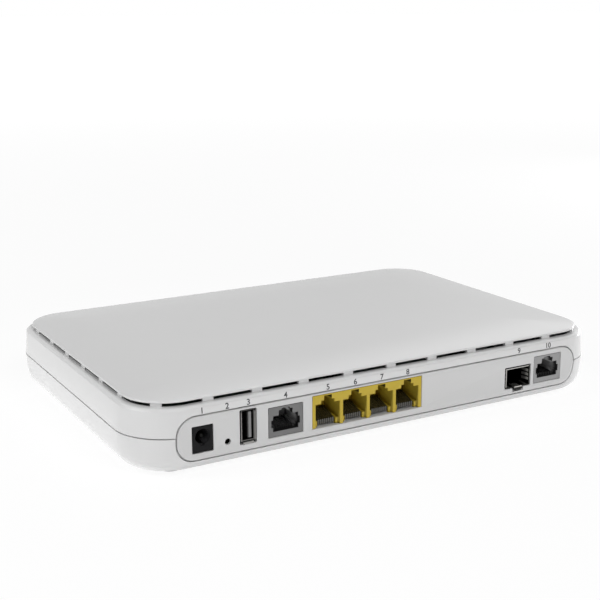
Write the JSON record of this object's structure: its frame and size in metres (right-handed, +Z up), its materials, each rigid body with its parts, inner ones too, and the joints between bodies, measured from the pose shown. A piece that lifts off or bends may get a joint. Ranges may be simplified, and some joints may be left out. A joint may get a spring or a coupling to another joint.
{
  "type": "optical network terminal",
  "caption": "Low white desktop network terminal with rounded corners, a vented top plate edge and a rear panel of network, optical module, USB and power sockets.",
  "frame": {"origin": "on the table under the middle of the case", "axes": "+X along the port panel, to the right when facing the ports; +Y from the ports to the status lights; +Z up"},
  "size_m": [0.239, 0.163, 0.0329],
  "materials": {
    "white_abs": "fine moulded satin",
    "panel_abs": "fine moulded satin",
    "foot_rubber": "soft matt",
    "plated_steel": "zinc plated",
    "circuit_board": "solder mask",
    "black_nylon": "moulded",
    "nickel_plate": "nickel plated sheet",
    "contact_bronze": "plated spring bronze",
    "ivory_nylon": "moulded",
    "dark_grey_pbt": "moulded",
    "light_grey_pbt": "moulded",
    "yellow_pbt": "moulded",
    "black_epoxy": "moulded",
    "thermal_silicone": "soft",
    "extruded_aluminium": "anodised",
    "ferrite": "sintered",
    "capacitor_can": "sleeved",
    "light_chip": "clear resin",
    "clear_acrylic": "polished"
  },
  "bodies": {
    "case": {"top_cover": "white_abs", "bottom_case": "white_abs", "port_panel": "panel_abs", "rubber_feet": "foot_rubber", "case_screws": "plated_steel", "main_board": "circuit_board", "board_screws": "plated_steel", "dc_jack_body": "black_nylon", "dc_jack_pin": "nickel_plate", "dc_jack_spring": "contact_bronze", "reset_switch_body": "black_nylon", "reset_dome": "nickel_plate", "usb_shell": "nickel_plate", "usb_insulator": "black_nylon", "usb_contacts": "contact_bronze", "console_jack_housing": "dark_grey_pbt", "console_jack_comb": "black_nylon", "console_jack_contacts": "contact_bronze", "lan_jack_block": "yellow_pbt", "lan_jack_combs": "black_nylon", "lan_jack_contacts": "contact_bronze", "wan_jack_housing": "light_grey_pbt", "wan_jack_comb": "black_nylon", "wan_jack_contacts": "contact_bronze", "sfp_cage": "nickel_plate", "sfp_spring_fingers": "nickel_plate", "sfp_host_connector": "black_nylon", "processor_chip": "black_epoxy", "thermal_pad": "thermal_silicone", "heat_sink": "extruded_aluminium", "memory_chips": "black_epoxy", "flash_chip": "black_epoxy", "switch_chip": "black_epoxy", "line_transformers": "black_epoxy", "power_inductors": "ferrite", "electrolytic_capacitors": "capacitor_can", "crystals": "nickel_plate", "status_leds": "light_chip", "light_guide": "clear_acrylic"},
    "reset_button": {"reset_plunger": "ivory_nylon"},
    "latch_tongue": {"sfp_latch": "nickel_plate"}
  },
  "joints": [
    {"name": "reset_press", "type": "slide", "parent": "case", "child": "reset_button", "axis": [0, 1, 0], "range_m": [0, 0.00025], "stiffness_N_per_m": 4000, "deforming": ["reset_dome"]},
    {"name": "sfp_latch_flex", "type": "hinge", "parent": "case", "child": "latch_tongue", "pos_m": [0.06855, -0.07646, 0.0101], "axis": [1, 0, 0], "range_deg": [0, 6], "stiffness_Nm_per_rad": 0.05}
  ]
}
